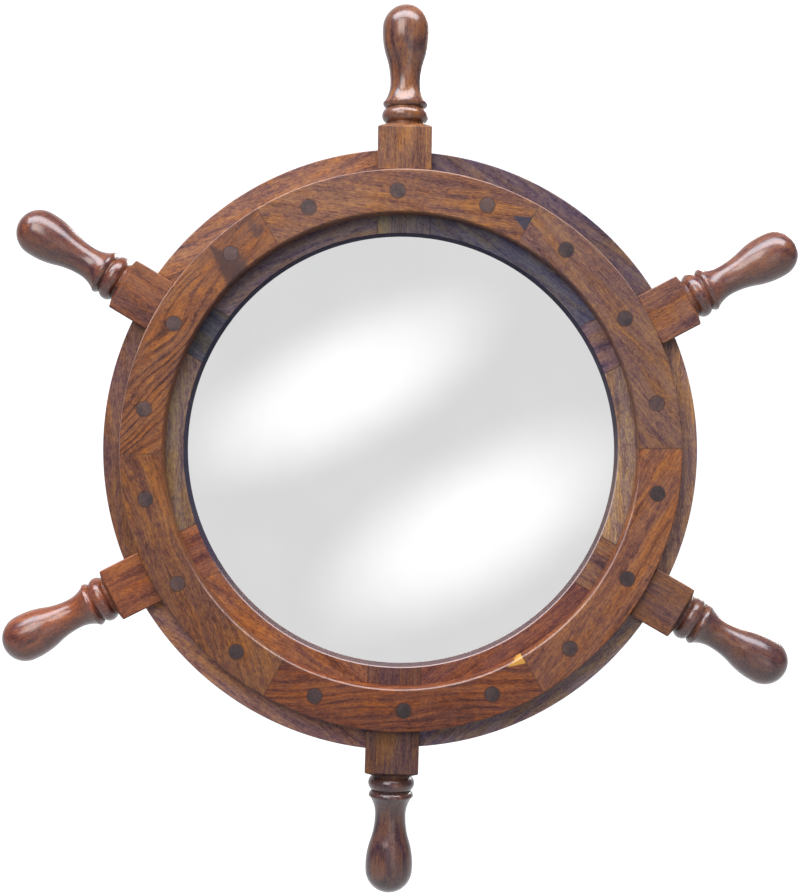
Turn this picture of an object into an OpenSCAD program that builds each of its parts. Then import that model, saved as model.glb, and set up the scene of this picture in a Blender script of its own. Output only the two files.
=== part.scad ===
// Ship's steering wheel with a round looking glass in place of the hub.
// Six turned spokes, six felloes between them, and a facing ring on the front and on the back,
// pinned together by eighteen wooden dowels. All sizes in millimetres.
// The parts are drawn lying flat with the face up; stand() puts the wheel upright,
// front towards -Y, top towards +Z, origin at the centre of the wheel.

/* [Wheel] */
// Distance across the wheel from handle tip to handle tip
wheel_d = 610; // [570:5:740]
// Outside diameter of the felloes
rim_d = 406.5; // [338:0.5:420]
// Width of a felloe from its outside edge to the opening
felloe_w = 55.25; // [48:0.25:66]
// Thickness of the felloes
felloe_t = 20; // [17:0.5:26]
// Softening of the sharp edges
arris = 0.8; // [0.4:0.1:1.2]
// How far the hand-set spokes and hand-cut felloes stray from even, 0 for a perfectly even wheel
stray = 1; // [0:0.1:1]

/* [Facing rings] */
// Thickness of each facing ring
ring_t = 12.5; // [10.5:0.5:16]
// Width of felloe left showing on each side of a facing ring
band_w = 13; // [12:0.25:15]
// Angle by which the rings and dowels sit turned back from the spokes
ring_lag = 1.4; // [0:0.1:2]

/* [Spokes] */
// Width of the square block of a spoke across the wheel face
block_w = 36.5; // [30:0.5:44]
// Thickness of the square block from front to back
block_t = 36; // [32:0.5:37]
// How far the block stands out beyond the felloes
block_reach = 20; // [17:0.5:26]
// Largest radius of the turned grip
grip_r = 16.2; // [14:0.1:17]
// Smallest radius of the turned grip
neck_r = 10.5; // [9:0.1:12]
// Radius of the round bead next to the block
bead_r = 15.9; // [15:0.1:17]

/* [Dowels] */
// Diameter of a dowel
dowel_d = 11; // [8:0.5:14]

/* [Looking glass] */
// Thickness of the glass
glass_t = 4; // [3:0.5:5]
// Thickness of the packing card behind the glass
card_t = 4; // [2:0.5:5]
// Thickness of the backing board
board_t = 3; // [2:0.5:4]

/* [Hanger] */
// Width of the hanger strap
strap_w = 12; // [10:0.5:14]
// Thickness of the strap
strap_t = 1; // [0.8:0.1:1.2]
// Diameter of the wire of the hanging ring
wire_d = 2.4; // [2:0.1:2.6]

/* [Hidden] */
spoke_count = 6;
pitch = 360 / spoke_count;
dowel_pitch = pitch / 3;
$fn = 180;

// Degrees that each spoke leans clockwise from its even place, the top spoke first
spoke_stray = [0, 1.5, -0.7, 0.9, 2.7, 0.3];
// Millimetres that each felloe stands proud of the rim, the one right of the top spoke first
felloe_stray = [0.3, -1.2, -0.6, 1.6, 0, 1.8];

// Radii of the rim, working inwards
rim_r = rim_d / 2;
ring_out_r = rim_r - band_w;
opening_r = rim_r - felloe_w;
ring_in_r = opening_r + band_w;
dowel_circle_r = (ring_out_r + ring_in_r) / 2;

// Heights above the middle of the wheel, lying flat
felloe_z = felloe_t / 2;
face_z = felloe_z + ring_t;

// Seat of the glass, cut into the back of the felloes
rebate_lap = 4.5;
rebate_depth = glass_t + card_t;
rebate_r = opening_r + rebate_lap;
glass_play = 0.5;
glass_r = rebate_r - glass_play;
glass_front_z = rebate_depth - felloe_z;
board_r = ring_in_r - glass_play;

// Fits
glue_line = 0.02;
running_fit = 0.05;
shoulder_gap = 0.1;
// Turned curves overlap by this much, so that each pair meets in one clean edge
curve_overlap = 0.01;
// Lap of one turned length over the next, so that rounding never parts them
turning_lap = 0.001;

// Block of a spoke
block_in = ring_out_r + shoulder_gap;
block_out = rim_r + block_reach;
pommel_angle = 17;
pommel_drop = 8;

// Turned bead and collar beyond the block
groove_r = bead_r - 2.3;
bead_curve = 7.8;
bead_s = block_out + 6;
collar_r = bead_r - 0.6;
collar_curve = 3.4;
collar_s = block_out + 15;
collar_land = 0.4;

// Turned grip: rounded end, swelling, long hollow to the neck, short flare to the collar
handle_len = wheel_d / 2 - block_out;
neck_s = collar_s + 0.198 * (handle_len - 15);
swell_s = wheel_d / 2 - 18.5;
flare_rise = collar_r - collar_land - neck_r;
flare_r = ((neck_s - collar_s) ^ 2 + flare_rise ^ 2) / (2 * flare_rise);
swell_rise = grip_r - neck_r;
swell_r = ((swell_s - neck_s) ^ 2 + swell_rise ^ 2) / (4 * swell_rise);
end_gap = wheel_d / 2 - swell_s;
end_r = (swell_r ^ 2 - end_gap ^ 2 - (swell_r - grip_r) ^ 2) / (2 * (swell_r - end_gap));
end_s = wheel_d / 2 - end_r - 2 * curve_overlap;
end_lean = atan2(end_s - swell_s, swell_r - grip_r);
end_join_s = end_s + end_r * sin(end_lean);
mid_s = (swell_s + neck_s) / 2;

// Board screws, one into the middle of each felloe
board_screw_circle_r = (rebate_r + board_r) / 2;
board_screw_len = 12;
screw_r = 1.5;
screw_head_r = 2.8;
screw_head_h = 1.6;
screw_tip = 3;

// Hanger on the back of the top block
hanger_z = -block_t / 2;
wire_r = wire_d / 2;
eye_r = wire_r + running_fit;
curl_r = eye_r + strap_t;
hanger_ring_r = 9;
pivot_s = block_out - 5;
pivot_z = hanger_z - curl_r;
hanger_screw_len = 16;
hanger_screw_near = pivot_s - 13.5;
hanger_screw_far = hanger_screw_near - 7;

// Places round the wheel are named clockwise from the top as seen from the front

// Turns the flat wheel upright
module stand() {
    rotate([90, 0, 0]) children();
}

// Turns children clockwise from the top, seen from the front
module around(angle) {
    rotate([0, 0, -angle]) children();
}

// Points a shape drawn along +Z outwards along a spoke
module along_spoke() {
    rotate([-90, 0, 0]) children();
}

// Angle of a spoke, clockwise from the top
function spoke_angle(i) = i * pitch + stray * spoke_stray[i % spoke_count];

// One piece of a ring from one angle to another, swept from the section given as child
module arc_piece(from, to) {
    around(to) rotate([0, 0, 90]) rotate_extrude(angle = to - from) children();
}

// Holes for the dowels at the given angles
module dowel_holes(angles) {
    for (a = angles)
        around(a) translate([0, dowel_circle_r, -face_z - 1])
            cylinder(r = dowel_d / 2 + glue_line, h = 2 * face_z + 2);
}

// Section through a felloe out to a given radius, with the seat for the glass cut from behind
module felloe_section(outer_r) {
    polygon([
        [opening_r, glass_front_z],
        [opening_r, felloe_z - arris],
        [opening_r + arris, felloe_z],
        [outer_r - arris, felloe_z],
        [outer_r, felloe_z - arris],
        [outer_r, arris - felloe_z],
        [outer_r - arris, -felloe_z],
        [rebate_r, -felloe_z],
        [rebate_r, glass_front_z]
    ]);
}

// Section through a facing ring, standing on the felloes
module ring_section() {
    polygon([
        [ring_in_r, felloe_z],
        [ring_out_r, felloe_z],
        [ring_out_r, face_z - arris],
        [ring_out_r - arris, face_z],
        [ring_in_r + arris, face_z],
        [ring_in_r, face_z - arris]
    ]);
}

// Half section of the turned handle: radius along X, distance from the wheel centre along Y
module handle_outline() {
    // core under the bead and the collar
    translate([0, block_out - 2]) square([groove_r, collar_s - block_out + 2]);
    // round bead
    intersection() {
        translate([bead_r - bead_curve, bead_s]) circle(r = bead_curve);
        translate([0, block_out - 1]) square([2 * bead_r, collar_s - block_out]);
    }
    // collar, rounded towards the bead and sharp towards the grip
    intersection() {
        translate([collar_r - collar_curve, collar_s]) circle(r = collar_curve);
        translate([0, collar_s - collar_curve]) square([2 * collar_r, collar_curve]);
    }
    // short flare from the collar to the neck
    difference() {
        translate([0, collar_s - turning_lap]) square([collar_r, neck_s - collar_s + turning_lap]);
        translate([neck_r + flare_r, neck_s]) circle(r = flare_r);
    }
    // long hollow from the neck to the swelling
    difference() {
        translate([0, neck_s - turning_lap]) square([grip_r, mid_s - neck_s + turning_lap]);
        translate([neck_r + swell_r, neck_s]) circle(r = swell_r);
    }
    // swelling that fills the hand
    intersection() {
        translate([grip_r - swell_r, swell_s]) circle(r = swell_r + curve_overlap);
        translate([0, neck_s]) square([2 * grip_r, end_join_s - neck_s]);
    }
    // rounded end
    intersection() {
        translate([0, end_s]) circle(r = end_r + 2 * curve_overlap);
        translate([0, mid_s]) square([2 * grip_r, wheel_d]);
    }
}

// Square block whose outer end is turned to a shallow cone
module spoke_block() {
    half_w = block_w / 2;
    half_t = block_t / 2;
    cone_r = groove_r + pommel_drop / tan(pommel_angle);
    intersection() {
        translate([0, block_in, 0]) along_spoke() linear_extrude(block_out - block_in)
            polygon([
                [arris - half_w, -half_t],
                [half_w - arris, -half_t],
                [half_w, arris - half_t],
                [half_w, half_t - arris],
                [half_w - arris, half_t],
                [arris - half_w, half_t],
                [-half_w, half_t - arris],
                [-half_w, arris - half_t]
            ]);
        along_spoke() rotate_extrude()
            polygon([
                [0, block_in - 1],
                [cone_r, block_in - 1],
                [cone_r, block_out - pommel_drop],
                [groove_r, block_out],
                [0, block_out]
            ]);
    }
}

// Flat shank held between the two facing rings, its end bored with the opening
module spoke_shank() {
    intersection() {
        arc_piece(-pitch / 2, pitch / 2) felloe_section(rim_r);
        translate([-block_w / 2, 0, -felloe_z]) cube([block_w, block_in + 1, felloe_t]);
    }
}

// Slot in the middle layer for the shank of a spoke
module shank_slot(i) {
    around(spoke_angle(i)) translate([-block_w / 2, 0, -felloe_z - 1])
        cube([block_w, wheel_d / 2, felloe_t + 2]);
}

// Pilot holes for the two screws of the hanger
module hanger_pilots() {
    for (s = [hanger_screw_near, hanger_screw_far])
        translate([0, s, hanger_z - 1])
            cylinder(r = screw_r + glue_line, h = hanger_screw_len + 1);
}

// Spoke: shank, block and turned handle cut from one length of wood
module spoke(i) {
    color("saddlebrown") stand() around(spoke_angle(i)) difference() {
        union() {
            spoke_shank();
            spoke_block();
            along_spoke() rotate_extrude() handle_outline();
        }
        dowel_holes([i * pitch - ring_lag - spoke_angle(i)]);
        if (i == 0) hanger_pilots();
    }
}

// Felloe: the part of the middle layer between spoke i and the next one clockwise
module felloe(i) {
    color("sienna") stand() difference() {
        arc_piece(spoke_angle(i), spoke_angle(i + 1))
            felloe_section(rim_r + stray * felloe_stray[i]);
        shank_slot(i);
        shank_slot((i + 1) % spoke_count);
        dowel_holes([for (step = [1, 2]) i * pitch + step * dowel_pitch - ring_lag]);
        around((i + 0.5) * pitch) translate([0, board_screw_circle_r, -felloe_z - 1])
            cylinder(r = screw_r + glue_line, h = board_screw_len - board_t + 1);
    }
}

// One segment of a facing ring, centred on a spoke's even place
module ring_segment(i) {
    middle = i * pitch - ring_lag;
    difference() {
        arc_piece(middle - pitch / 2, middle + pitch / 2) ring_section();
        dowel_holes([middle - dowel_pitch, middle, middle + dowel_pitch]);
    }
}

// Segment of the front facing ring
module front_ring_segment(i) {
    color("peru") stand() ring_segment(i);
}

// Segment of the back facing ring, the front one turned over through the wheel
module back_ring_segment(i) {
    color("peru") stand() mirror([0, 0, 1]) ring_segment(i);
}

// One dowel through both rings and the layer between them
module dowel(angle) {
    around(angle - ring_lag) translate([0, dowel_circle_r, -face_z])
        cylinder(r = dowel_d / 2, h = 2 * face_z);
}

// Dowels that lock the spokes
module spoke_dowels() {
    color("dimgray") stand()
        for (i = [0 : spoke_count - 1])
            dowel(i * pitch);
}

// Dowels that lock the felloes, two in each
module felloe_dowels() {
    color("dimgray") stand()
        for (i = [0 : spoke_count - 1], side = [-1, 1])
            dowel((i + 0.5) * pitch + side * dowel_pitch / 2);
}

// Round glass, silvered on the back, lying in its seat
module mirror_glass() {
    color("silver") stand()
        translate([0, 0, glass_front_z - glass_t]) cylinder(r = glass_r, h = glass_t);
}

// Card disc that fills the seat behind the glass
module packing_card() {
    color("tan") stand()
        translate([0, 0, -felloe_z]) cylinder(r = glass_r, h = card_t);
}

// Thin round board that closes the back
module backing_board() {
    color("burlywood") stand() difference() {
        translate([0, 0, -felloe_z - board_t]) cylinder(r = board_r, h = board_t);
        for (i = [0 : spoke_count - 1])
            around((i + 0.5) * pitch)
                translate([0, board_screw_circle_r, -felloe_z - board_t - 1])
                    cylinder(r = screw_r + glue_line, h = board_t + 2);
    }
}

// Round-headed wood screw, head resting on the XY plane and pointing to -Z
module wood_screw(length) {
    dome_r = (screw_head_r ^ 2 + screw_head_h ^ 2) / (2 * screw_head_h);
    slot_w = 0.8;
    difference() {
        intersection() {
            translate([0, 0, dome_r - screw_head_h]) sphere(r = dome_r, $fn = 64);
            translate([0, 0, -screw_head_h]) cylinder(r = screw_head_r, h = screw_head_h, $fn = 64);
        }
        translate([-screw_head_r, -slot_w / 2, -screw_head_h]) cube([2 * screw_head_r, slot_w, slot_w]);
    }
    cylinder(r = screw_r, h = length - screw_tip, $fn = 32);
    translate([0, 0, length - screw_tip])
        cylinder(r1 = screw_r, r2 = 0.2, h = screw_tip, $fn = 32);
}

// Six screws that hold the backing board to the felloes
module board_screws() {
    color("goldenrod") stand()
        for (i = [0 : spoke_count - 1])
            around((i + 0.5) * pitch)
                translate([0, board_screw_circle_r, -felloe_z - board_t])
                    wood_screw(board_screw_len);
}

// Hanger strap: flat leaf with its upper end curled round the wire of the ring
module hanger_strap() {
    leaf_end = hanger_screw_far;
    color("darkgoldenrod") stand() difference() {
        union() {
            translate([-strap_w / 2, leaf_end, hanger_z - strap_t])
                cube([strap_w, pivot_s - leaf_end, strap_t]);
            translate([0, leaf_end, hanger_z - strap_t]) cylinder(r = strap_w / 2, h = strap_t);
            translate([-strap_w / 2, pivot_s, pivot_z])
                rotate([0, 90, 0]) cylinder(r = curl_r, h = strap_w, $fn = 64);
        }
        translate([-strap_w, pivot_s, pivot_z])
            rotate([0, 90, 0]) cylinder(r = eye_r, h = 2 * strap_w, $fn = 64);
        for (s = [hanger_screw_near, hanger_screw_far])
            translate([0, s, hanger_z - strap_t - 1])
                cylinder(r = screw_r + running_fit, h = strap_t + 2);
    }
}

// D-shaped ring of round wire: straight bar in the curl, half circle hanging below it
module hanger_ring() {
    color("gold") stand() translate([0, pivot_s, pivot_z]) {
        translate([-hanger_ring_r, 0, 0])
            rotate([0, 90, 0]) cylinder(r = wire_r, h = 2 * hanger_ring_r, $fn = 48);
        rotate([0, 0, 180]) rotate_extrude(angle = 180, $fn = 96)
            translate([hanger_ring_r, 0]) circle(r = wire_r, $fn = 48);
        for (side = [-1, 1])
            translate([side * hanger_ring_r, 0, 0]) sphere(r = wire_r, $fn = 48);
    }
}

// Two screws that hold the hanger strap to the top block
module hanger_screws() {
    color("goldenrod") stand()
        for (s = [hanger_screw_near, hanger_screw_far])
            translate([0, s, hanger_z - strap_t]) wood_screw(hanger_screw_len);
}

spoke(0);  // spoke_top
spoke(1);  // spoke_upper_right
spoke(2);  // spoke_lower_right
spoke(3);  // spoke_bottom
spoke(4);  // spoke_lower_left
spoke(5);  // spoke_upper_left
felloe(0);  // felloe_top_right
felloe(1);  // felloe_right
felloe(2);  // felloe_bottom_right
felloe(3);  // felloe_bottom_left
felloe(4);  // felloe_left
felloe(5);  // felloe_top_left
front_ring_segment(0);  // front_ring_top
front_ring_segment(1);  // front_ring_upper_right
front_ring_segment(2);  // front_ring_lower_right
front_ring_segment(3);  // front_ring_bottom
front_ring_segment(4);  // front_ring_lower_left
front_ring_segment(5);  // front_ring_upper_left
back_ring_segment(0);  // back_ring_top
back_ring_segment(1);  // back_ring_upper_right
back_ring_segment(2);  // back_ring_lower_right
back_ring_segment(3);  // back_ring_bottom
back_ring_segment(4);  // back_ring_lower_left
back_ring_segment(5);  // back_ring_upper_left
spoke_dowels();
felloe_dowels();
mirror_glass();
packing_card();
backing_board();
board_screws();
hanger_strap();
hanger_ring();
hanger_screws();
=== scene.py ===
"""Ship's steering wheel with a round looking glass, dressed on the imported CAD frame. Metres, front to -Y."""

import math
import random

import bmesh
import bpy
from mathutils import Matrix, Vector


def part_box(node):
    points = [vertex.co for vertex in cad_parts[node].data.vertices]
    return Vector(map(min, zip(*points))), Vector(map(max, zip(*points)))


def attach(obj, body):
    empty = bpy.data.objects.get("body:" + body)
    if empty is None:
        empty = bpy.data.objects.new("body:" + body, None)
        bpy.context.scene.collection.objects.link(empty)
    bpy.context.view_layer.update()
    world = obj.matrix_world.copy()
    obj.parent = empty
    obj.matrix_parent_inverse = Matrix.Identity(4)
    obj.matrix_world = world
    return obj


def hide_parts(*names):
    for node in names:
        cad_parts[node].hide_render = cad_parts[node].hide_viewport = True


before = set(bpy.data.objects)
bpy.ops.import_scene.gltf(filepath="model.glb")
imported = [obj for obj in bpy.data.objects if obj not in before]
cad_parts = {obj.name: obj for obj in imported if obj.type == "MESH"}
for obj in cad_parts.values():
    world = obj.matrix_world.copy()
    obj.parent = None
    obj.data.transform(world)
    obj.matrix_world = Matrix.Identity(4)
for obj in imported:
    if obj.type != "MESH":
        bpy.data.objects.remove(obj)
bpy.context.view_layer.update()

MM = 0.001
PLACES = ["top", "upper_right", "lower_right", "bottom", "lower_left", "upper_left"]

# ---------------------------------------------------------------------------------------------
# Spokes. Each is one length of dark sheesham: a flat shank held between the rings, a square
# block, and a handle turned on the lathe. Sanded, stained red brown and varnished by hand.
# ---------------------------------------------------------------------------------------------
opening_r = 148.0
rebate_r = 152.5
felloe_y = 10.0
glass_face_y = 2.0
ring_out_r = 190.25
ring_in_r = 161.0
half_block_w = 18.25
half_block_t = 18.0
block_in = ring_out_r + 0.1
block_out = 223.25
tip_s = 305.0
pommel_slope = math.tan(math.radians(17))
end_ease = 0.12
spoke_turn = [0.0, 1.5, -0.7, 0.9, 2.7, 0.3]


def arc(cx, cy, r, start, end, steps):
    """Points on a circle from one angle to another, in degrees."""
    points = []
    for k in range(steps + 1):
        a = math.radians(start + (end - start) * k / steps)
        points.append((cx + r * math.cos(a), cy + r * math.sin(a)))
    return points


def handle_outline():
    """(distance along the spoke, radius) from the block to the tip, in millimetres."""
    grip_r, neck_r, bead_r, collar_r = 16.2, 10.5, 15.9, 15.3
    groove_r, groove_lip = 13.2, 0.3
    collar_edge = 0.4
    bead_curve, bead_s = 5.75, block_out + 5.85
    cove_curve, collar_s = 3.4, block_out + 15
    neck_s = collar_s + 0.198 * (tip_s - collar_s)
    swell_s = tip_s - 18.5
    flare_rise = collar_r - collar_edge - neck_r
    flare_r = ((neck_s - collar_s) ** 2 + flare_rise**2) / (2 * flare_rise)
    rise = grip_r - neck_r
    swell_r = ((swell_s - neck_s) ** 2 + rise**2) / (4 * rise)
    end_gap = tip_s - swell_s
    end_r = (swell_r**2 - end_gap**2 - (swell_r - grip_r) ** 2) / (2 * (swell_r - end_gap))
    end_s = tip_s - end_r
    lean = math.degrees(math.atan2(end_s - swell_s, swell_r - grip_r))

    bead_half = math.degrees(math.acos((groove_r + groove_lip - bead_r + bead_curve) / bead_curve))
    cove_start = math.degrees(math.acos((groove_r + groove_lip - collar_r + cove_curve) / cove_curve))
    flare_half = math.degrees(math.asin((neck_s - collar_s) / flare_r))
    hollow_half = math.degrees(math.asin((swell_s - neck_s) / 2 / swell_r))
    curves = (
        arc(bead_r - bead_curve, bead_s, bead_curve, -bead_half, bead_half, 14)
        + [(groove_r, bead_s + 5.1), (groove_r, collar_s - 3.3)]
        + arc(collar_r - cove_curve, collar_s - 0.6, cove_curve, -cove_start, -4, 8)
        + [(collar_r, collar_s - 0.5), (collar_r - 0.05, collar_s - 0.1), (collar_r - collar_edge, collar_s)]
        + arc(neck_r + flare_r, neck_s, flare_r, 180 + flare_half, 180, 12)[1:]
        + arc(neck_r + swell_r, neck_s, swell_r, 180, 180 - hollow_half, 16)[1:]
        + arc(grip_r - swell_r, swell_s, swell_r, -hollow_half, lean, 18)[1:]
        + arc(0, end_s, end_r, lean, 89.5, 16)[1:]
    )
    profile = [(block_out - 3, groove_r), (block_out + 1.0, groove_r)]
    return profile + [(s, r) for r, s in curves]


def new_piece(name, verts, faces, turn=0.0):
    """A mesh object from millimetre points drawn at the top of the wheel, turned clockwise to its
    place, smooth apart from its sharp edges."""
    sharp = 38
    mesh = bpy.data.meshes.new(name)
    mesh.from_pydata([(x * MM, y * MM, z * MM) for x, y, z in verts], [], faces)
    mesh.validate()
    mesh.transform(Matrix.Rotation(math.radians(turn), 4, "Y"))
    skin = bmesh.new()
    skin.from_mesh(mesh)
    bmesh.ops.recalc_face_normals(skin, faces=skin.faces)
    skin.to_mesh(mesh)
    skin.free()
    mesh.polygons.foreach_set("use_smooth", [True] * len(mesh.polygons))
    mesh.set_sharp_from_angle(angle=math.radians(sharp))
    piece = bpy.data.objects.new(name, mesh)
    bpy.context.scene.collection.objects.link(piece)
    weighted = piece.modifiers.new("even shading", "WEIGHTED_NORMAL")
    weighted.keep_sharp = True
    return piece


def loft(rings):
    """Vertices and faces of a skin through closed rings of equal length, capped at both ends."""
    n = len(rings[0])
    verts = [p for ring in rings for p in ring]
    faces = []
    for k in range(len(rings) - 1):
        for i in range(n):
            j = (i + 1) % n
            faces.append((k * n + i, k * n + j, (k + 1) * n + j, (k + 1) * n + i))
    faces.append(tuple(range(n - 1, -1, -1)))
    faces.append(tuple(range((len(rings) - 1) * n, len(rings) * n)))
    return verts, faces


def join_parts(parts):
    """One vertex and face list from several."""
    verts, faces = [], []
    for v, f in parts:
        base = len(verts)
        verts += v
        faces += [tuple(base + i for i in face) for face in f]
    return verts, faces


def rounded_rectangle(half_w, half_t, corner, steps=4):
    """Closed outline with rounded corners, anticlockwise."""
    points = []
    for sx, sy, start in ((1, 1, 0), (-1, 1, 90), (-1, -1, 180), (1, -1, 270)):
        points += arc(sx * (half_w - corner), sy * (half_t - corner), corner, start, start + 90, steps)
    return points


def handle_parts(sides=72):
    """The lathe-turned part of a spoke, tip up."""
    rings = []
    for s, r in handle_outline():
        ring = []
        for k in range(sides):
            a = 2 * math.pi * k / sides
            ring.append((r * math.cos(a), r * math.sin(a), s))
        rings.append(ring)
    return loft(rings)


def block_parts():
    """The square block, its outer end turned to a shallow cone and its edges eased."""
    flat_r = 13.6

    def end_height(x, y):
        return block_out - max(0.0, math.hypot(x, y) - flat_r) * pommel_slope

    outline = rounded_rectangle(half_block_w, half_block_t, 1.0)
    rings = []
    for inset, height in ((0.7, 0.0), (0.2, 0.2), (0.0, 0.7)):
        shrink = 1 - inset / half_block_w
        rings.append([(x * shrink, y * shrink, block_in + height) for x, y in outline])
    for step in (0.25, 0.5, 0.75):
        rings.append([(x, y, block_in + step * (end_height(x, y) - block_in)) for x, y in outline])
    for inset, drop in ((0.0, 0.8), (0.08, 0.4), (0.3, 0.1), (0.8, 0.0)):
        shrink = 1 - inset / half_block_w
        rings.append(
            [(x * shrink, y * shrink, end_height(x * shrink, y * shrink) - drop) for x, y in outline]
        )
    for shrink in (0.9, 0.84, 0.78, 0.72, 0.66):
        rings.append([(x * shrink, y * shrink, end_height(x * shrink, y * shrink)) for x, y in outline])
    return loft(rings)


def middle_layer_section(outer_r, ease=0.8):
    """Closed outline of the middle layer, radius and y, with the seat for the glass at the back."""
    front = -felloe_y
    return (
        [(opening_r, glass_face_y)]
        + arc(opening_r + ease, front + ease, ease, 180, 270, 4)
        + arc(outer_r - ease, front + ease, ease, 270, 360, 4)
        + arc(outer_r - ease, felloe_y - ease, ease, 0, 90, 4)
        + [(rebate_r, felloe_y), (rebate_r, glass_face_y)]
    )


def shrink_section(section, by):
    """The same outline drawn in a little all round, for an eased end."""
    mid_r = sum(r for r, y in section) / len(section)
    return [(r - math.copysign(by, r - mid_r), y - math.copysign(by, y)) for r, y in section]


def stations_along(steps, lip):
    """Places along a piece from 0 to 1, with one more a little way in from each end."""
    return [0.0, lip] + [k / steps for k in range(1, steps)] + [1 - lip, 1.0]


def shank_parts(steps=5):
    """The flat shank, bored with the opening at its inner end and hidden in the block outside."""
    section = middle_layer_section(block_in + 3)
    rings = []
    for u in stations_along(steps, 0.0035):
        outline = section if 0 < u < 1 else shrink_section(section, end_ease)
        ring = []
        for r, y in outline:
            across = (2 * u - 1) * half_block_w
            ring.append((across, y, math.sqrt(r * r - across * across)))
        rings.append(ring)
    return loft(rings)


class Shader:
    """Builds a node material, one line for each step."""

    def __init__(self, name):
        self.material = bpy.data.materials.new(name)
        self.material.use_nodes = True
        self.tree = self.material.node_tree
        self.tree.nodes.clear()
        self.out = self.tree.nodes.new("ShaderNodeOutputMaterial")
        self.bsdf = self.tree.nodes.new("ShaderNodeBsdfPrincipled")
        self.tree.links.new(self.bsdf.outputs[0], self.out.inputs[0])

    def put(self, socket, value):
        if isinstance(value, bpy.types.NodeSocket):
            self.tree.links.new(value, socket)
        elif value is not None:
            socket.default_value = value

    def set(self, **values):
        for key, value in values.items():
            self.put(self.bsdf.inputs[key.replace("_", " ")], value)

    def place(self):
        return self.tree.nodes.new("ShaderNodeTexCoord").outputs["Object"]

    def millimetres(self):
        return self.vector("SCALE", self.place(), 1 / MM)

    def mapping(self, vector, location=(0, 0, 0), rotation=(0, 0, 0), scale=(1, 1, 1)):
        node = self.tree.nodes.new("ShaderNodeMapping")
        self.put(node.inputs["Vector"], vector)
        self.put(node.inputs["Location"], location)
        self.put(node.inputs["Rotation"], [math.radians(a) for a in rotation])
        self.put(node.inputs["Scale"], scale)
        return node.outputs[0]

    def math(self, kind, a, b=None, c=None, clamp=False):
        node = self.tree.nodes.new("ShaderNodeMath")
        node.operation = kind
        node.use_clamp = clamp
        for socket, value in zip(node.inputs, (a, b, c)):
            self.put(socket, value)
        return node.outputs[0]

    def vector(self, kind, a, b=None):
        node = self.tree.nodes.new("ShaderNodeVectorMath")
        node.operation = kind
        self.put(node.inputs[0], a)
        if kind == "SCALE":
            self.put(node.inputs["Scale"], b)
        else:
            self.put(node.inputs[1], b)
        return node.outputs["Value"] if kind == "LENGTH" else node.outputs[0]

    def parts(self, vector):
        node = self.tree.nodes.new("ShaderNodeSeparateXYZ")
        self.put(node.inputs[0], vector)
        return node.outputs

    def noise(self, vector, scale=1.0, detail=2.0, roughness=0.5, colour=False):
        node = self.tree.nodes.new("ShaderNodeTexNoise")
        self.put(node.inputs["Vector"], vector)
        self.put(node.inputs["Scale"], scale)
        self.put(node.inputs["Detail"], detail)
        self.put(node.inputs["Roughness"], roughness)
        return node.outputs["Color" if colour else "Fac"]

    def spread(self, value, noise, amount):
        """A value pushed up or down by a noise, which counts from its middle of 0.5."""
        return self.math("MULTIPLY_ADD", self.math("SUBTRACT", noise, 0.5), amount, value)

    def distance(self, a, b):
        """Length of the diagonal of two offsets."""
        return self.math("SQRT", self.math("ADD", self.math("POWER", a, 2.0), self.math("POWER", b, 2.0)))

    def ramp(self, fac, stops):
        node = self.tree.nodes.new("ShaderNodeValToRGB")
        self.put(node.inputs[0], fac)
        band = node.color_ramp
        while len(band.elements) < len(stops):
            band.elements.new(0.5)
        for element, (place, colour) in zip(band.elements, stops):
            element.position = place
            element.color = (*colour, 1)
        return node.outputs[0]

    def mix(self, fac, a, b, kind="MIX"):
        node = self.tree.nodes.new("ShaderNodeMix")
        node.data_type = "RGBA"
        node.blend_type = kind
        self.put(node.inputs["Factor"], fac)
        self.put(node.inputs[6], (*a, 1) if isinstance(a, tuple) else a)
        self.put(node.inputs[7], (*b, 1) if isinstance(b, tuple) else b)
        return node.outputs[2]

    def smooth(self, value, low, high):
        """0 up to low and 1 from high, smooth between; where low is the larger, it falls instead."""
        node = self.tree.nodes.new("ShaderNodeMapRange")
        node.interpolation_type = "SMOOTHSTEP"
        self.put(node.inputs["Value"], value)
        self.put(node.inputs["From Min"], low)
        self.put(node.inputs["From Max"], high)
        return node.outputs[0]

    def bump(self, height, distance, strength=1.0):
        node = self.tree.nodes.new("ShaderNodeBump")
        self.put(node.inputs["Height"], height)
        self.put(node.inputs["Distance"], distance)
        self.put(node.inputs["Strength"], strength)
        self.put(self.bsdf.inputs["Normal"], node.outputs[0])


# Weight of the varnish on flat faces, and how far apart in the noise the planks are taken
thin_coat = 0.06
plank_step = (311.0, 37.0, 53.0)


def bore_wall(s, radius):
    """1 on the wall of the opening, 0 elsewhere."""
    return s.smooth(radius, opening_r + 0.45, opening_r + 0.25)


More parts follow.
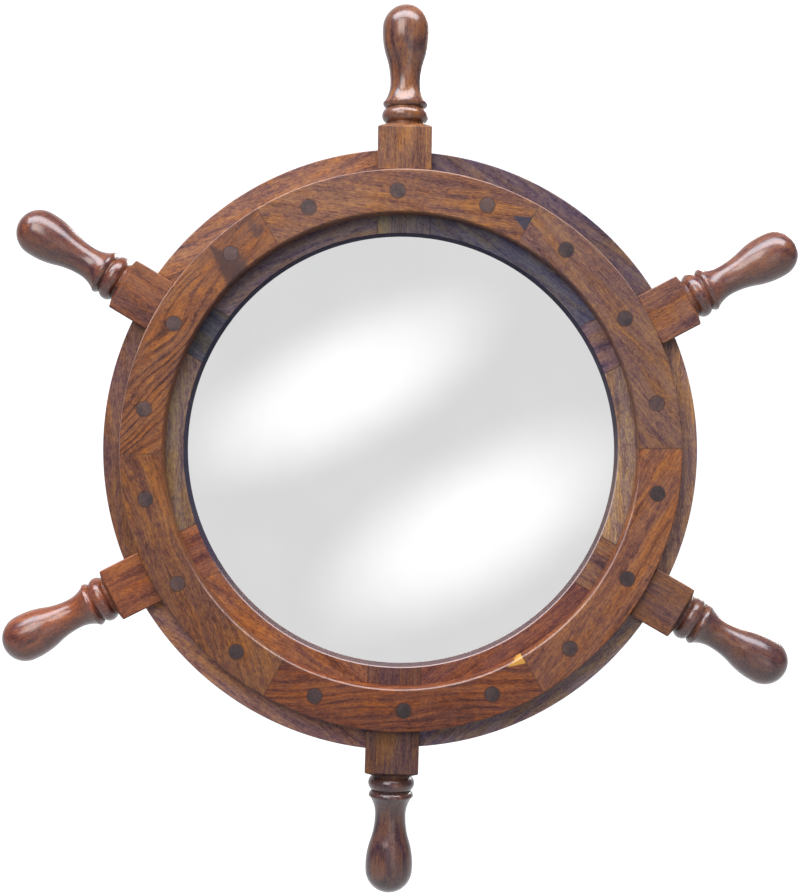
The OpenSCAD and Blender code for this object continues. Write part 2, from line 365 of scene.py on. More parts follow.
def wood(name, tone, place, turn, seed, pith, ring_gap, figure, wave, gloss, handle_coat=0.0, stains=()):
    """Varnished hardwood cut from a log: growth rings, fibre streaks, pores and hand-rubbed sheen.
    The grain runs along X once the piece has been turned by the angles given. Pith is where the
    centre of the rings lies across the grain, and ring_gap is from one to the next, both in
    millimetres. Figure is how dark the rings are, and wave how far they wander."""
    s = Shader(name)
    local = s.mapping(s.millimetres(), rotation=(0, -place, 0))
    shift = [seed * step for step in plank_step]
    plank = s.mapping(local, location=shift, rotation=turn)

    drift = s.noise(s.mapping(plank, scale=(0.010, 0.028, 0.028)), detail=2.0, colour=True)
    drift = s.vector("SUBTRACT", drift, (0.5, 0.5, 0.5))
    bent = s.vector("ADD", plank, s.vector("MULTIPLY", drift, (0.0, 2.6 * wave, 2.6 * wave)))
    jitter = s.noise(s.mapping(plank, scale=(0.035, 0.22, 0.22)), detail=3.0, roughness=0.6, colour=True)
    jitter = s.vector("SUBTRACT", jitter, (0.5, 0.5, 0.5))
    bent = s.vector("ADD", bent, s.vector("MULTIPLY", jitter, (0.0, 3.0, 3.0)))

    split = s.parts(bent)
    off_y = s.math("SUBTRACT", split[1], pith[0] + shift[1])
    off_z = s.math("SUBTRACT", split[2], pith[1] + shift[2])
    reach = s.distance(off_y, off_z)
    turns = s.math("SINE", s.math("MULTIPLY", reach, 2 * math.pi / ring_gap))
    late_wood = s.math("POWER", s.math("MULTIPLY_ADD", turns, 0.5, 0.5), 3.0)

    streak = s.noise(s.mapping(bent, scale=(0.018, 0.55, 0.55)), detail=5.0, roughness=0.68)
    blotch = s.noise(s.mapping(plank, scale=(0.016, 0.050, 0.050)), detail=3.0, roughness=0.55)
    fine = s.noise(s.mapping(bent, scale=(0.10, 1.9, 1.9)), detail=3.0, roughness=0.7)
    ripple = s.noise(s.mapping(bent, scale=(0.22, 0.16, 0.16)), detail=3.0, roughness=0.6)
    fleck = s.noise(s.mapping(plank, scale=(0.42, 1.0, 1.0)), detail=3.0, roughness=0.65)
    pores = s.smooth(s.noise(s.mapping(bent, scale=(0.16, 2.6, 2.6)), detail=1.0), 0.64, 0.74)

    patches = s.noise(s.mapping(plank, scale=(0.02, 0.03, 0.03)), detail=1.0)
    strength = s.math("MULTIPLY", s.smooth(patches, 0.35, 0.6), figure)
    value = s.spread(0.0, streak, 0.95)
    value = s.spread(value, blotch, 0.80)
    value = s.spread(value, fine, 1.05)
    value = s.spread(value, ripple, 0.45)
    value = s.spread(value, fleck, 0.9)
    value = s.math("SUBTRACT", value, s.math("MULTIPLY", s.math("SUBTRACT", late_wood, 0.3), strength))
    value = s.math("ADD", value, 0.5, clamp=True)
    red, green, blue = tone
    colour = s.ramp(value, [
        (0.05, (0.26 * red, 0.24 * green, 0.42 * blue)),
        (0.34, (0.66 * red, 0.62 * green, 0.84 * blue)),
        (0.55, (1.06 * red, 1.04 * green, 0.96 * blue)),
        (0.85, (1.68 * red, 1.70 * green, 1.10 * blue)),
    ])
    warmth = s.noise(s.mapping(plank, scale=(0.02, 0.09, 0.09)), detail=3.0, roughness=0.6)
    colour = s.mix(s.smooth(warmth, 0.42, 0.66), colour, (1.18, 1.02, 0.62), kind="MULTIPLY")
    colour = s.mix(s.math("MULTIPLY", pores, 0.5), colour, (0.2 * red, 0.15 * green, 0.15 * blue))

    x, y, z = s.parts(local)
    around = s.math("MULTIPLY", s.math("ARCTAN2", x, z), 180 / math.pi)
    radius = s.distance(x, z)
    for stain in stains:
        colour = stain(s, colour, around, radius, y, streak)

    rub = s.noise(local, scale=0.03, detail=3.0, roughness=0.6)
    rough = s.spread(gloss, rub, 0.25)
    rough = s.spread(rough, fine, 0.25)
    rough = s.math("MULTIPLY_ADD", pores, 0.15, rough)
    bare = bore_wall(s, radius)
    rough = s.math("ADD", rough, bare, clamp=True)
    height = s.math("MULTIPLY_ADD", fine, 0.5, s.math("MULTIPLY", streak, 0.5))
    height = s.math("MULTIPLY_ADD", pores, -0.7, height)
    s.bump(height, 0.00022, 0.7)
    varnish = s.math("MULTIPLY", s.math("SUBTRACT", 1.0, bare), thin_coat)
    if handle_coat:
        handle = s.smooth(radius, block_out + 0.5, block_out + 2)
        varnish = s.math("MULTIPLY_ADD", handle, handle_coat, varnish)
    s.set(Base_Color=colour, Roughness=rough, Specular_IOR_Level=0.22,
          Coat_Weight=varnish, Coat_Roughness=0.2)
    return s.material


def finish_piece(piece, material, slot, *nodes, body="wheel"):
    """Gives a piece its finish and lets it stand for its CAD nodes."""
    piece.data.materials.append(material)
    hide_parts(*nodes)
    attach(piece, body)


def painted_bore_light(place):
    """The wall of the opening, coloured by how the light falls on it: black-blue painted shade above, dark
    brown along the lit bottom with a pale painted highlight at the front. The lit side is the direction of its
    bottom, clockwise from the top."""
    lit_side = 162.0

    def paint(s, colour, around, radius, y, streak):
        wall = bore_wall(s, radius)
        here = s.math("ADD", around, place - lit_side)
        low = s.math("COSINE", s.math("MULTIPLY", here, math.pi / 180))
        bottom = s.smooth(low, 0.15, 0.45)
        front_edge = s.smooth(y, -felloe_y + 2.6, -felloe_y + 1.4)
        # painted highlight: a pale line along the front of the lit lower wall
        front_highlight = s.mix(front_edge, (0.085, 0.055, 0.055), (0.36, 0.28, 0.27))
        # painted shade: black-blue on the upper wall, which faces away from the light
        edge = s.mix(bottom, (0.012, 0.012, 0.035), front_highlight)
        return s.mix(s.math("MULTIPLY", wall, 0.92), colour, edge)
    return paint


def shaded(r_from, r_to, factor):
    """The plank's colour multiplied by a factor between two radii: used for painted shade where the front ring
    shadows the band inside it, and for the darker handles.
    """
    def paint(s, colour, around, radius, y, streak):
        band = s.math("MULTIPLY", s.smooth(radius, r_from - 1.5, r_from), s.smooth(radius, r_to + 1, r_to))
        return s.mix(band, colour, s.mix(1.0, colour, factor, kind="MULTIPLY"))
    return paint


def dark_arris(line_w, r_from, r_to):
    """Grime in a joint: a thin dark line down both flanks of a spoke where its neighbours touch."""
    def paint(s, colour, around, radius, y, streak):
        flank = s.math("MULTIPLY", s.math("SINE", s.math("MULTIPLY", around, math.pi / 180)), radius)
        near = s.smooth(s.math("ABSOLUTE", flank), half_block_w - line_w, half_block_w - 0.05)
        inside = s.math("MULTIPLY", s.smooth(radius, r_from, r_from + 1), s.smooth(radius, r_to + 1, r_to))
        return s.mix(s.math("MULTIPLY", s.math("MULTIPLY", near, inside), 0.8), colour, (0.02, 0.012, 0.01))
    return paint


# Colour of each spoke, and how much redder, greener and bluer it is inside the front ring: painted light and
# shade for the ring's shadow on that end
spoke_tones = [
    (0.17, 0.077, 0.043),
    (0.17, 0.073, 0.049),
    (0.14, 0.065, 0.05),
    (0.12, 0.059, 0.048),
    (0.22, 0.073, 0.035),
    (0.14, 0.053, 0.034),
]
spoke_ring_shade = [
    (0.9, 1.6, 3.0),
    (1.2, 1.7, 2.9),
    (1.2, 1.3, 1.3),
    (0.9, 0.8, 0.9),
    (0.9, 1.0, 1.3),
    (0.4, 1.0, 2.2),
]
handle_shade = (0.84, 0.74, 0.80)
spoke_figure = [0.45, 0.3, 0.2, 0.35, 0.25, 0.3]
for i, place in enumerate(PLACES):
    angle = 60 * i + spoke_turn[i]
    parts = join_parts([shank_parts(), block_parts(), handle_parts()])
    piece = new_piece(f"spoke_{place}_wood", *parts, turn=angle)
    stains = [
        # painted shade: the end inside the front ring tinted for the ring's shadow on it
        shaded(0, ring_in_r, spoke_ring_shade[i]),
        shaded(block_out, tip_s, handle_shade),
        painted_bore_light(angle),
        dark_arris(0.9, opening_r, ring_in_r),
    ]
    material = wood(f"spoke wood {i + 1}", spoke_tones[i], place=angle, turn=(0, 90, 0),
                    seed=1.7 + 0.63 * i, pith=(60, 25), ring_gap=6.0, figure=spoke_figure[i],
                    wave=3.0, gloss=0.32, handle_coat=0.94, stains=stains)
    finish_piece(piece, material, "spoke_wood", f"spoke_{place}")

# ---------------------------------------------------------------------------------------------
# Felloes. Six curved pieces of the middle layer, sawn from planks and fitted between the
# spokes, so each has its own colour. Their outer edges are trimmed by hand to slightly
# different radii, and a rebate is cut into the back of the opening for the glass.
# ---------------------------------------------------------------------------------------------
rim_r = 203.25
felloe_places = ["top_right", "right", "bottom_right", "bottom_left", "left", "top_left"]
felloe_proud = [0.3, -1.2, -0.6, 1.6, 0.0, 1.8]


def felloe_parts(i, steps=60):
    """Felloe i, its ends cut parallel to the sides of the spokes next to it."""
    section = middle_layer_section(rim_r + felloe_proud[i])
    start = 60 * i + spoke_turn[i]
    end = 60 * (i + 1) + spoke_turn[(i + 1) % 6]
    middle = 60 * i + 30
    rings = []
    for u in stations_along(steps, 0.0015):
        outline = section if 0 < u < 1 else shrink_section(section, end_ease)
        ring = []
        for r, y in outline:
            lean = math.degrees(math.asin(half_block_w / r))
            a = math.radians(start + lean + u * (end - start - 2 * lean) - middle)
            ring.append((r * math.sin(a), y, r * math.cos(a)))
        rings.append(ring)
    return loft(rings)


# Colour of each felloe, and how much redder, greener and bluer it is inside the front ring: painted light and
# shade for the ring's shadow on that band
felloe_tones = [
    (0.093, 0.059, 0.072),
    (0.23, 0.13, 0.1),
    (0.28, 0.2, 0.22),
    (0.32, 0.17, 0.15),
    (0.16, 0.077, 0.059),
    (0.2, 0.088, 0.056),
]
felloe_ring_shade = [
    (1.1, 1.6, 2.1),
    (1.3, 1.5, 1.4),
    (0.6, 0.3, 0.19),
    (0.7, 0.5, 0.3),
    (1.1, 1.5, 1.6),
    (0.7, 1.1, 2.1),
]
felloe_slant = [-6, 4, 8, -5, 3, -9]
felloe_figure = [0.2, 0.15, 0.1, 0.15, 0.2, 0.25]
for i, place in enumerate(felloe_places):
    angle = 60 * i + 30
    piece = new_piece(f"felloe_{place}_wood", *felloe_parts(i), turn=angle)
    material = wood(f"felloe wood {i + 1}", felloe_tones[i], place=angle, turn=(0, felloe_slant[i], 0),
                    seed=5.1 + 0.87 * i, pith=(70, 60), ring_gap=7.0, figure=felloe_figure[i], wave=6.0,
                    # painted shade: the band inside the front ring tinted for the ring's shadow on it
                    gloss=0.36, stains=[shaded(0, ring_in_r, felloe_ring_shade[i]), painted_bore_light(angle)])
    finish_piece(piece, material, "felloe_wood", f"felloe_{place}")

# ---------------------------------------------------------------------------------------------
# Facing rings. Six segments on the front and six on the back, butted end to end halfway
# between the spokes, glued over the middle layer and pinned. Their arrises are eased by hand.
# ---------------------------------------------------------------------------------------------
face_y = 22.5
ring_turn = -1.4
dowel_circle_r = 175.6
dowel_r = 5.5
dowel_pitch = 20.0
dowel_proud = 0.06
degree_long = dowel_circle_r * math.pi / 180


def ring_parts(front, seed, steps=60):
    """A segment of a facing ring, centred on the top of the wheel."""
    ease = 1.1
    joint_ease = 0.1
    foot = 0.55
    low, high = felloe_y, face_y - dowel_proud
    section = (
        arc(ring_in_r - foot, low + foot, foot, 0, -90, 3)[::-1]
        + [(ring_out_r, low)]
        + arc(ring_out_r - ease, high - ease, ease, 0, 90, 5)
        + arc(ring_in_r + 1.4 * ease, high - 1.4 * ease, 1.4 * ease, 90, 180, 6)
    )
    rng = random.Random(seed)
    phases = [rng.uniform(0, 2 * math.pi) for _ in range(4)]
    side = -1 if front else 1
    rings = []
    for u in stations_along(steps, 0.0012):
        outline = section if 0 < u < 1 else shrink_section(section, joint_ease)
        fade = math.sin(math.pi * u)
        ring = []
        for r, y in outline:
            outer = r > dowel_circle_r
            wobble = 0.22 * math.sin(5 * u + phases[outer]) + 0.12 * math.sin(13 * u + phases[2 + outer])
            a = math.radians(-30 + 60 * u)
            reach = r + fade * wobble * (y > low)
            ring.append((reach * math.sin(a), side * y, reach * math.cos(a)))
        rings.append(ring if front else ring[::-1])
    return loft(rings)


def knot_stain(centre, r, width, depth):
    """A dark knot with a ragged edge, at an angle along the segment and a radius."""
    def paint(s, colour, around, radius, y, streak):
        across = s.math("MULTIPLY", s.math("SUBTRACT", around, centre), degree_long / width)
        along = s.math("MULTIPLY", s.math("SUBTRACT", radius, r), 1 / depth)
        away = s.spread(s.distance(across, along), streak, 1.6)
        mask = s.math("SUBTRACT", 1.0, s.smooth(away, 0.25, 1.15))
        return s.mix(s.math("MULTIPLY", mask, 0.72), colour, (0.060, 0.032, 0.028))
    return paint


def spike_stain(centre, tip_r, base_r, half_width):
    """A dark spike of bark pointing out from a knot, half_width degrees wide at its base."""
    def paint(s, colour, around, radius, y, streak):
        grow = s.math("MULTIPLY", s.math("SUBTRACT", tip_r, radius), half_width / (tip_r - base_r))
        inside = s.math("SUBTRACT", grow, s.math("ABSOLUTE", s.math("SUBTRACT", around, centre)))
        inside = s.spread(inside, streak, 2.4)
        below = s.smooth(radius, base_r - 6, base_r - 1)
        mask = s.math("MULTIPLY", s.smooth(inside, -0.3, 0.7), below)
        return s.mix(s.math("MULTIPLY", mask, 0.82), colour, (0.045, 0.022, 0.020))
    return paint


def wedge_stain(tip, base, r_low, r_high, paint_colour, strength=0.9):
    """A triangular streak: a point at angle tip, widening to the two radii at angle base."""
    def paint(s, colour, around, radius, y, streak):
        grow = s.math("MULTIPLY", s.math("SUBTRACT", around, tip), 1 / (base - tip))
        middle = (r_low + r_high) / 2
        half = s.math("MULTIPLY", grow, (r_high - r_low) / 2)
        inside = s.math("SUBTRACT", half, s.math("ABSOLUTE", s.math("SUBTRACT", radius, middle)))
        inside = s.spread(inside, streak, 2.0)
        mask = s.smooth(inside, -0.3, 0.8)
        return s.mix(s.math("MULTIPLY", mask, strength), colour, paint_colour)
    return paint


def painted_arris_highlight(place, strength):
    """Pale painted highlights on the arrises where the light catches them: outside at the upper left, inside
    below.
    Both directions are clockwise from the top of the wheel."""
    upper_left, below = -25.0, 167.0

    def paint(s, colour, around, radius, y, streak):
        def towards(angle):
            turned = s.math("SUBTRACT", s.math("ADD", around, place), angle)
            return s.math("COSINE", s.math("MULTIPLY", turned, math.pi / 180))

        outside = s.smooth(radius, ring_out_r - 0.6, ring_out_r - 0.25)
        outside = s.math("MULTIPLY", outside, s.smooth(towards(upper_left), 0.0, 0.4))
        inside = s.smooth(radius, ring_in_r + 1.3, ring_in_r + 0.9)
        inside = s.math("MULTIPLY", inside, s.smooth(radius, ring_in_r + 0.1, ring_in_r + 0.5))
        inside = s.math("MULTIPLY", inside, s.smooth(towards(below), 0.2, 0.5))
        near_face = s.smooth(s.math("ABSOLUTE", y), felloe_y + 8, felloe_y + 10)
        line = s.math("MULTIPLY", s.math("ADD", outside, inside), near_face)
        line = s.math("MULTIPLY", line, s.math("MULTIPLY_ADD", streak, 0.8, strength - 0.4), clamp=True)
        # painted highlight: pale lines on the arrises that face the light
        return s.mix(line, colour, (0.52, 0.38, 0.33))
    return paint


def ring_grime(s, colour, around, radius, y, streak):
    """Thin dark lines: the butt joints at both ends, and the rim of each of the three dowel holes."""
    half_segment = 30.0
    from_end = s.math("SUBTRACT", half_segment, s.math("ABSOLUTE", around))
    joint = s.smooth(s.math("MULTIPLY", from_end, degree_long), 0.75, 0.25)
    which = s.math("ROUND", s.math("DIVIDE", around, dowel_pitch))
    from_dowel = s.math("SUBTRACT", around, s.math("MULTIPLY", which, dowel_pitch))
    across = s.math("MULTIPLY", from_dowel, degree_long)
    away = s.distance(across, s.math("SUBTRACT", radius, dowel_circle_r))
    rim = s.smooth(s.spread(away, streak, 1.2), dowel_r + 0.4, dowel_r - 0.05)
    dirt = s.math("MAXIMUM", s.math("MULTIPLY", joint, 0.6), rim)
    dirt = s.math("MULTIPLY", dirt, s.math("MULTIPLY_ADD", streak, 0.8, 0.2))
    return s.mix(dirt, colour, (0.022, 0.012, 0.010))


ring_tones = [
    (0.17, 0.077, 0.048),
    (0.15, 0.076, 0.059),
    (0.19, 0.076, 0.044),
    (0.16, 0.052, 0.026),
    (0.16, 0.067, 0.037),
    (0.16, 0.062, 0.031),
]
ring_stains = [
    [wedge_stain(26.0, 30.0, 170.0, 181.0, (0.030, 0.032, 0.050))],
    [],
    [],
    [wedge_stain(-25.5, -30.0, 159.0, 166.5, (0.62, 0.31, 0.06))],
    [],
    [
        spike_stain(17.8, 191.0, 163.0, 3.4),
        knot_stain(20.2, 170.0, 8.0, 8.0),
        knot_stain(27.4, 179.0, 4.5, 10.0),
    ],
]
# The log each front segment was cut from: slant of its grain, growth rings, and how they wander
front_slant = [-8, 12, -4, 3, -10, -14]
front_gap = [9, 11, 9, 5.0, 10, 4.2]
front_figure = [0.25, 0.15, 0.2, 0.32, 0.15, 0.4]
front_wave = [5, 7, 6, 7, 7, 12]
for i, place in enumerate(PLACES):
    angle = 60 * i + ring_turn
    piece = new_piece(f"front_ring_{place}_wood", *ring_parts(True, 20 + i), turn=angle)
    material = wood(f"front ring wood {i + 1}", ring_tones[i], place=angle, turn=(0, front_slant[i], 0),
                    seed=9.3 + 1.31 * i, pith=(85, -35), ring_gap=front_gap[i], figure=front_figure[i],
                    wave=front_wave[i], gloss=0.32,
                    stains=[*ring_stains[i], ring_grime, painted_arris_highlight(angle, 0.35)])
    finish_piece(piece, material, "ring_wood", f"front_ring_{place}")
back_slant = [7, -5, 9, -11, 4, 6]
for i, place in enumerate(PLACES):
    angle = 60 * i + ring_turn
    piece = new_piece(f"back_ring_{place}_wood", *ring_parts(False, 40 + i), turn=angle)
    material = wood(f"back ring wood {i + 1}", ring_tones[(2 * i + 1) % 5], place=angle,
                    turn=(0, back_slant[i], 0), seed=19.3 + 1.13 * i, pith=(85, 35), ring_gap=9.0,
                    figure=0.35, wave=6.0, gloss=0.42, stains=[ring_grime])
    finish_piece(piece, material, "ring_wood", f"back_ring_{place}")

# ---------------------------------------------------------------------------------------------
# Dowels. Eighteen pegs of a dark wood driven through all three layers and sanded flush, so
# their end grain shows as dark dots on both rings. Those under the spokes lock them in place.
# ---------------------------------------------------------------------------------------------
def dowel_parts(angle):
    """One peg through the wheel, its ends a hair proud and rounded."""
    x0 = dowel_circle_r * math.sin(math.radians(angle))
    z0 = dowel_circle_r * math.cos(math.radians(angle))
    profile = [(-face_y, 0.6), (-face_y, 4.7), (-face_y + 0.12, 5.2), (-face_y + 0.5, dowel_r)]
    profile += [(-y, r) for y, r in reversed(profile)]
    rings = []
    for y, r in profile:
        ring = []
        for k in range(40):
            a = 2 * math.pi * k / 40
            ring.append((x0 + r * math.cos(a), y, z0 + r * math.sin(a)))
        rings.append(ring)
    return loft(rings)


def end_grain(name):
    """Dark end grain: small open pores and faint arcs of growth rings, under varnish."""
    s = Shader(name)
    local = s.millimetres()
    spots = s.noise(local, scale=1.1, detail=4.0, roughness=0.7)
    cloud = s.noise(local, scale=0.16, detail=2.0)
    pores = s.smooth(s.noise(local, scale=2.6, detail=1.0), 0.60, 0.70)
    tone = s.math("ADD", s.math("MULTIPLY", spots, 0.8), s.math("MULTIPLY", cloud, 0.9))
    log = s.noise(local, scale=0.013, detail=0.0)
    usual = 0.42
    tone = s.math("MULTIPLY_ADD", s.math("SUBTRACT", log, usual), 0.9, tone)
    colour = s.ramp(s.math("SUBTRACT", tone, 0.35), [
        (0.2, (0.018, 0.010, 0.011)), (0.5, (0.045, 0.025, 0.026)), (0.8, (0.095, 0.050, 0.042))])
    colour = s.mix(s.math("MULTIPLY", pores, 0.7), colour, (0.02, 0.012, 0.012))
    s.bump(s.math("SUBTRACT", spots, pores), 0.0003, 0.8)
    s.set(Base_Color=colour, Roughness=s.math("ADD", 0.35, s.math("MULTIPLY", spots, 0.3)),
          Specular_IOR_Level=0.35, Coat_Weight=0.1, Coat_Roughness=0.2)
    return s.material


peg_material = end_grain("dowel end grain")
for name, steps in (("spoke_dowels", (0,)), ("felloe_dowels", (dowel_pitch, 2 * dowel_pitch))):
    pegs = [dowel_parts(60 * i + step + ring_turn) for i in range(6) for step in steps]
    finish_piece(new_piece(f"{name}_pegs", *join_parts(pegs)), peg_material, "dowel_wood", name)

# ---------------------------------------------------------------------------------------------
# Looking glass. A disc of float glass silvered on its back, dropped into the rebate from
# behind. It is one mesh: mirror on the front and the rim, grey paint behind.
# ---------------------------------------------------------------------------------------------
def disc(name, node, ease):
    """A flat disc the size of a CAD node, its edges eased."""
    low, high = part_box(node)
    r = (high[0] - low[0]) / 2 / MM
    y0, y1 = low[1] / MM, high[1] / MM
    profile = [(y0, 0.5), (y0, r - ease), (y0 + ease, r), (y1 - ease, r), (y1, r - ease), (y1, 0.5)]
    rings = []
    for y, radius in profile:
        ring = []
        for k in range(144):
            a = 2 * math.pi * k / 144
            ring.append((radius * math.cos(a), y, radius * math.sin(a)))
        rings.append(ring)
    return new_piece(name, *loft(rings))


def silvered():
    """The reflecting face, with a faint unevenness in its polish."""
    s = Shader("silvered glass")
    haze = s.noise(s.millimetres(), scale=0.02, detail=3.0)
    tint = s.ramp(haze, [(0.3, (0.88, 0.89, 0.90)), (0.7, (0.92, 0.925, 0.93))])
    s.set(Base_Color=tint, Metallic=1.0, Roughness=s.math("MULTIPLY", haze, 0.03))
    return s.material


mirror = disc("mirror_glass_disc", "mirror_glass", 0.4)
finish_piece(mirror, silvered(), "looking_glass", "mirror_glass")
paint = Shader("mirror back paint")
paint_noise = paint.noise(paint.millimetres(), scale=0.15, detail=5.0)
paint.set(Base_Color=paint.ramp(paint_noise, [(0.3, (0.10, 0.11, 0.115)), (0.7, (0.16, 0.17, 0.175))]),
          Roughness=0.6)
mirror.data.materials.append(paint.material)
for face in mirror.data.polygons:
    face.material_index = 0 if face.normal.y < 0.5 else 1

# ---------------------------------------------------------------------------------------------
# Packing card and backing board. Brown corrugated card fills the seat behind the glass, and a
# thin plywood disc closes the back, laid on the felloes inside the back ring.
# ---------------------------------------------------------------------------------------------
def card():
    """Brown paper with the flutes inside it showing as faint ribs."""
    flute_pitch = 7.0
    s = Shader("corrugated card")
    local = s.millimetres()
    flute = s.math("SINE", s.math("MULTIPLY", s.parts(local)[0], 2 * math.pi / flute_pitch))
    fibre = s.noise(s.mapping(local, scale=(0.6, 0.6, 0.15)), detail=4.0, roughness=0.7)
    tone = s.math("ADD", s.math("MULTIPLY", flute, 0.06), fibre)
    s.bump(s.math("ADD", s.math("MULTIPLY", flute, 0.5), fibre), 0.0003)
    s.set(Base_Color=s.ramp(tone, [(0.3, (0.30, 0.19, 0.10)), (0.7, (0.50, 0.35, 0.20))]), Roughness=0.9)
    return s.material


def plywood():
    """Rotary-cut veneer: long wavy figure, pale brown, with a few dark flecks and handling marks."""
    s = Shader("plywood board")
    local = s.millimetres()
    warp = s.noise(s.mapping(local, scale=(0.02, 0.02, 0.006)), detail=3.0, colour=True)
    warp = s.vector("SCALE", s.vector("SUBTRACT", warp, (0.5, 0.5, 0.5)), 60.0)
    bent = s.vector("ADD", local, warp)
    figure = s.noise(s.mapping(bent, scale=(0.12, 0.12, 0.006)), detail=4.0, roughness=0.6)
    fibre = s.noise(s.mapping(local, scale=(2.5, 2.5, 0.05)), detail=3.0, roughness=0.7)
    marks = s.smooth(s.noise(local, scale=0.018, detail=6.0, roughness=0.7), 0.58, 0.75)
    tone = s.math("ADD", s.math("MULTIPLY", figure, 0.75), s.math("MULTIPLY", fibre, 0.3))
    colour = s.ramp(tone, [
        (0.3, (0.24, 0.135, 0.065)),
        (0.52, (0.42, 0.27, 0.145)),
        (0.75, (0.56, 0.39, 0.23)),
    ])
    colour = s.mix(s.math("MULTIPLY", marks, 0.35), colour, (0.16, 0.10, 0.06))
    s.bump(s.math("ADD", fibre, s.math("MULTIPLY", figure, 0.4)), 0.00025, 0.7)
    s.set(Base_Color=colour, Roughness=0.62)
    return s.material


finish_piece(disc("packing_card_sheet", "packing_card", 0.2), card(), "card", "packing_card")
finish_piece(disc("backing_board_ply", "backing_board", 0.4), plywood(), "board", "backing_board")

# ---------------------------------------------------------------------------------------------
# Screws and hanger. Brass-plated steel: six round-headed screws round the board, and on the
# back of the top block a folded strap with a D-ring that swings, held by two more screws.
# ---------------------------------------------------------------------------------------------
def plated(name, low, high, rough):
    """Brass plating, dulled and slightly brown in places."""
    s = Shader(name)
    local = s.millimetres()
    tarnish = s.noise(local, scale=0.35, detail=5.0, roughness=0.65)
    scratch = s.noise(s.mapping(local, scale=(0.4, 0.4, 6.0)), detail=3.0)
    colour = s.ramp(tarnish, [(0.35, low), (0.65, high)])
    dull = s.math("ADD", rough, s.math("MULTIPLY", tarnish, 0.25))
    s.bump(s.math("ADD", scratch, s.math("MULTIPLY", tarnish, 0.5)), 0.00004, 0.6)
    s.set(Base_Color=colour, Metallic=1.0, Roughness=dull)
    return s.material


screw_brass = plated("screw brass", (0.46, 0.31, 0.12), (0.78, 0.58, 0.28), 0.18)
hanger_brass = plated("hanger brass", (0.50, 0.35, 0.14), (0.83, 0.64, 0.33), 0.14)
for node, material in (("board_screws", screw_brass), ("hanger_screws", screw_brass),
                       ("hanger_strap", hanger_brass), ("hanger_ring", hanger_brass)):
    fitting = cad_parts[node]
    fitting.data.materials.clear()
    fitting.data.materials.append(material)
    eased = fitting.modifiers.new("eased edges", "BEVEL")
    eased.width = 0.12 * MM
    eased.segments = 2
    eased.limit_method = "ANGLE"
    eased.angle_limit = math.radians(40)

# ---------------------------------------------------------------------------------------------
# Studio. A plain pale surround, which only the camera sees, a grey floor that only shows in
# the varnish and glass, and a pale card with two soft bright areas in front for the glass to
# reflect. A long soft light hangs overhead, with weaker ones at the left, front and rear.
# ---------------------------------------------------------------------------------------------
def stage_sheet(name, outline, half_width):
    """A sheet swept sideways along X from an outline of (y, z) points."""
    mesh = bpy.data.meshes.new(name)
    verts = [(side * half_width, y, z) for y, z in outline for side in (-1, 1)]
    faces = [(2 * k, 2 * k + 1, 2 * k + 3, 2 * k + 2) for k in range(len(outline) - 1)]
    mesh.from_pydata(verts, [], faces)
    mesh.polygons.foreach_set("use_smooth", [True] * len(mesh.polygons))
    sheet = bpy.data.objects.new(name, mesh)
    bpy.context.scene.collection.objects.link(sheet)
    return sheet


def matt_paper(name, colour, glow):
    """Matt paper, lit a little from within so that it stays even."""
    s = Shader(name)
    s.set(Base_Color=colour, Roughness=0.9, Emission_Color=(1, 1, 1, 1), Emission_Strength=glow)
    return s.material


floor_z = -0.9
wall_y = 5.0
bend_r = 1.5
sweep = [(-6.0, floor_z)] + arc(wall_y - bend_r, floor_z + bend_r, bend_r, -90, 0, 16) + [(wall_y, 7.0)]
floor = stage_sheet("floor", sweep, 7.0)
floor.data.materials.append(matt_paper("grey floor", (0.40, 0.40, 0.40, 1), 0.5))
floor.visible_diffuse = False
floor.visible_camera = False

surround_r, surround_top, surround_z = 9.0, 12.0, floor_z - 0.02
bowl = [
    (0.1, surround_z),
    (surround_r - 1, surround_z),
    (surround_r, floor_z + 1),
    (surround_r, surround_top),
]
bowl_rings = []
for r, z in bowl:
    bowl_rings.append([(x, y, z) for x, y in arc(0, 0, r, 0, 360, 96)[:-1]])
bowl_verts, bowl_faces = loft(bowl_rings)
surround_mesh = bpy.data.meshes.new("surround")
surround_mesh.from_pydata(bowl_verts, [], bowl_faces)
surround = bpy.data.objects.new("surround", surround_mesh)
bpy.context.scene.collection.objects.link(surround)
surround.data.materials.append(matt_paper("pale surround", (0.86, 0.86, 0.855, 1), 1.0))
surround.visible_diffuse = False
surround.visible_glossy = False
surround.visible_shadow = False

card_y = -2.6
reflector = stage_sheet("reflector_card", [(card_y, -0.85), (card_y, 0.65)], 0.7)
reflector.visible_camera = False
reflector.visible_diffuse = False
glow = Shader("reflector glow")
spot = glow.place()
bright = None
bright_areas = [(-0.135, 0.078, 0.37, 0.145, 28.0), (0.150, -0.222, 0.38, 0.165, 30.0)]
for cx, cz, long, short, lean in bright_areas:
    area = glow.mapping(glow.vector("SUBTRACT", spot, (cx, card_y, cz)), rotation=(0, lean, 0))
    area = glow.vector("MULTIPLY", area, (1 / long, 0, 1 / short))
    blob = glow.math("SUBTRACT", 1.0, glow.smooth(glow.vector("LENGTH", area), 0.25, 1.2))
    bright = blob if bright is None else glow.math("MAXIMUM", bright, blob)
shine = glow.tree.nodes.new("ShaderNodeEmission")
shine.inputs["Strength"].default_value = 1.0
glow.put(shine.inputs["Color"], glow.mix(bright, (0.770, 0.763, 0.763), (1.15, 1.13, 1.12)))
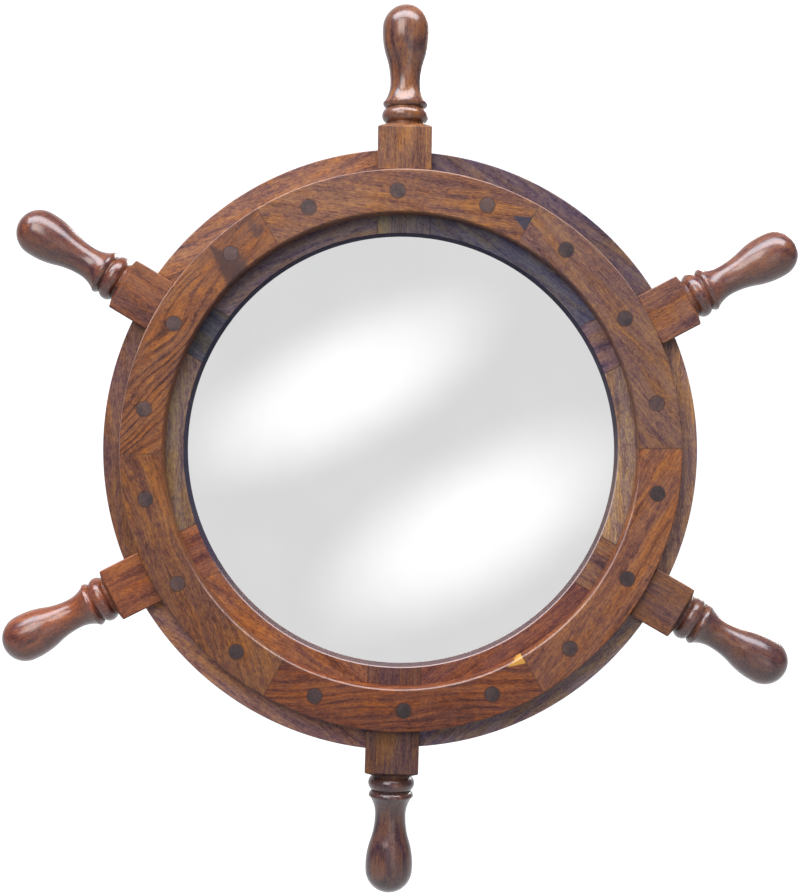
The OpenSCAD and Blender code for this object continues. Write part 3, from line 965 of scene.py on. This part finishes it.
glow.tree.links.new(shine.outputs[0], glow.out.inputs[0])
reflector.data.materials.append(glow.material)


def soft_light(name, place, size, watts, colour):
    """A square soft light turned towards the wheel."""
    lamp = bpy.data.lights.new(name, "AREA")
    lamp.shape = "RECTANGLE"
    lamp.size, lamp.size_y = size
    lamp.energy = watts
    lamp.color = colour
    holder = bpy.data.objects.new(name, lamp)
    bpy.context.scene.collection.objects.link(holder)
    holder.rotation_euler = Vector([-p for p in place]).to_track_quat("-Z", "Y").to_euler()
    holder.location = place


soft_light("overhead strip", (-0.05, -0.50, 1.30), (2.7, 0.75), 58, (0.90, 0.93, 1.0))
soft_light("softbox left", (-0.60, -1.30, 0.80), (0.9, 0.9), 16, (1.0, 0.965, 0.93))
soft_light("front fill", (0.8, -1.9, -0.1), (0.7, 1.2), 3, (1.0, 0.97, 0.95))
soft_light("rear fill", (0.9, 1.9, 0.9), (1.3, 1.0), 22, (1.0, 0.98, 0.95))

world = bpy.data.worlds.new("studio")
bpy.context.scene.world = world
world.use_nodes = True
sky = world.node_tree.nodes["Background"]
sky.inputs["Color"].default_value = (0.74, 0.80, 1.0, 1)
sky.inputs["Strength"].default_value = 0.24

camera_data = bpy.data.cameras.new("camera")
camera = bpy.data.objects.new("camera", camera_data)
bpy.context.scene.collection.objects.link(camera)
camera_data.sensor_fit = "HORIZONTAL"
camera_data.sensor_width = 36
camera_data.lens = 79.95
camera_data.clip_start = 0.01
camera_roll = 0.77
camera.location = (0.004, -1.221, 0.028)
aim = (-0.0006, 0.0, 0.0025)
dx, dy, dz = (a - c for a, c in zip(aim, camera.location))
yaw = math.atan2(-dx, dy)
pitch = math.atan2(dz, math.hypot(dx, dy))
camera.matrix_world = (
    Matrix.Translation(camera.location)
    @ Matrix.Rotation(yaw, 4, "Z")
    @ Matrix.Rotation(math.radians(90) + pitch, 4, "X")
    @ Matrix.Rotation(math.radians(camera_roll), 4, "Z")
)
bpy.context.scene.camera = camera
bpy.context.scene.view_settings.view_transform = "Standard"
